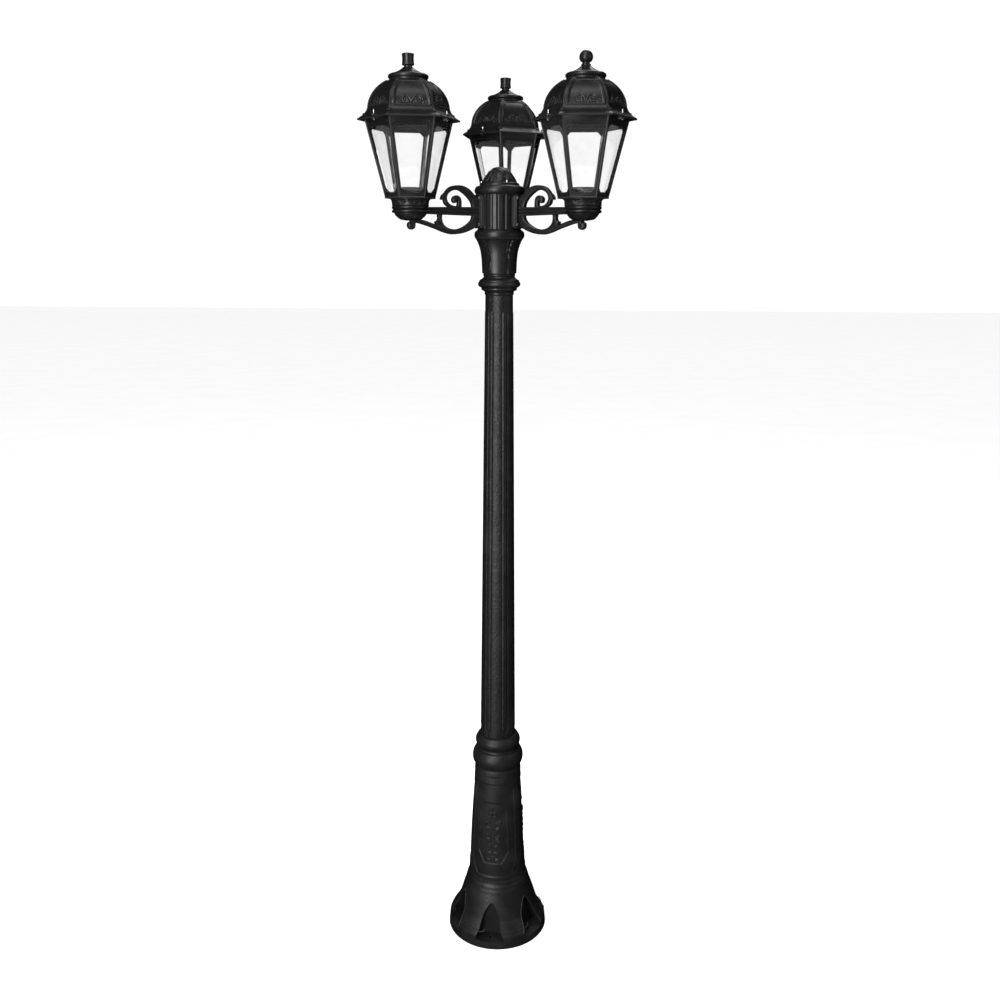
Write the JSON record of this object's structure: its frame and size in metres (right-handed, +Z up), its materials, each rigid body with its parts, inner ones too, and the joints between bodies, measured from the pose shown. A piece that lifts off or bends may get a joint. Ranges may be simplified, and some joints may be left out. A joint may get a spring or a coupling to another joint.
{
  "type": "garden lamp post",
  "caption": "Tapering ribbed garden lamp post whose scrolled arms carry glazed hexagonal lanterns with lift-off domed roofs.",
  "frame": {"origin": "on the ground, at the centre of the foot's underside, on the post's axis", "axes": "+Z up along the post, +Y towards the rear arm, -Y towards the front, +X to the right arm's side"},
  "size_m": [0.6168, 0.5622, 2.2476],
  "materials": {
    "rough_coat": "cast aluminium under a black coat with an orange-peel texture",
    "satin_coat": "cast aluminium under a smoother black satin coat",
    "clear_panes": "clear, faintly grey",
    "bright_steel": "bright stainless steel",
    "black_steel": "blackened steel",
    "black_plastic": "black moulded lampholder",
    "pale_plastic": "off-white moulded terminal block",
    "seal_rubber": "black flat seal"
  },
  "bodies": {
    "post": {"base_casting": "rough_coat", "shaft": "rough_coat", "collar": "satin_coat", "neck": "satin_coat", "head": "satin_coat", "head_cap": "satin_coat", "shaft_screws": "black_steel", "head_gasket": "seal_rubber", "cap_screws": "bright_steel", "terminal_block": "pale_plastic", "arm_screws": "bright_steel", "rear_arm_bar": "satin_coat", "rear_upper_scroll": "satin_coat", "rear_lower_scroll": "satin_coat", "rear_bowl": "satin_coat", "rear_stud": "bright_steel", "left_arm_bar": "satin_coat", "left_upper_scroll": "satin_coat", "left_lower_scroll": "satin_coat", "left_bowl": "satin_coat", "left_stud": "bright_steel", "right_arm_bar": "satin_coat", "right_upper_scroll": "satin_coat", "right_lower_scroll": "satin_coat", "right_bowl": "satin_coat", "right_stud": "bright_steel"},
    "rear_lantern": {"rear_frame": "satin_coat", "rear_panes": "clear_panes", "rear_neck_cup": "satin_coat", "rear_cup_screws": "bright_steel", "rear_lampholder": "black_plastic"},
    "rear_roof_set": {"rear_roof": "satin_coat", "rear_roof_screws": "bright_steel", "rear_roof_disc": "satin_coat", "rear_finial_nut": "bright_steel", "rear_finial": "satin_coat"},
    "left_lantern": {"left_frame": "satin_coat", "left_panes": "clear_panes", "left_neck_cup": "satin_coat", "left_cup_screws": "bright_steel", "left_lampholder": "black_plastic"},
    "left_roof_set": {"left_roof": "satin_coat", "left_roof_screws": "bright_steel", "left_roof_disc": "satin_coat", "left_finial_nut": "bright_steel", "left_finial": "satin_coat"},
    "right_lantern": {"right_frame": "satin_coat", "right_panes": "clear_panes", "right_neck_cup": "satin_coat", "right_cup_screws": "bright_steel", "right_lampholder": "black_plastic"},
    "right_roof_set": {"right_roof": "satin_coat", "right_roof_screws": "bright_steel", "right_roof_disc": "satin_coat", "right_finial_nut": "bright_steel", "right_finial": "satin_coat"}
  },
  "joints": [
    {"name": "rear_lantern_turn", "type": "hinge", "parent": "post", "child": "rear_lantern", "pos_m": [0, 0.225, 1.922], "axis": [0, 0, 1], "range_deg": [-30, 30]},
    {"name": "rear_roof_lift", "type": "slide", "parent": "rear_lantern", "child": "rear_roof_set", "axis": [0, 0, 1], "range_m": [0, 0.15]},
    {"name": "left_lantern_turn", "type": "hinge", "parent": "post", "child": "left_lantern", "pos_m": [-0.19486, -0.1125, 1.922], "axis": [0, 0, 1], "range_deg": [-30, 30]},
    {"name": "left_roof_lift", "type": "slide", "parent": "left_lantern", "child": "left_roof_set", "axis": [0, 0, 1], "range_m": [0, 0.15]},
    {"name": "right_lantern_turn", "type": "hinge", "parent": "post", "child": "right_lantern", "pos_m": [0.19486, -0.1125, 1.922], "axis": [0, 0, 1], "range_deg": [-30, 30]},
    {"name": "right_roof_lift", "type": "slide", "parent": "right_lantern", "child": "right_roof_set", "axis": [0, 0, 1], "range_m": [0, 0.15]}
  ]
}
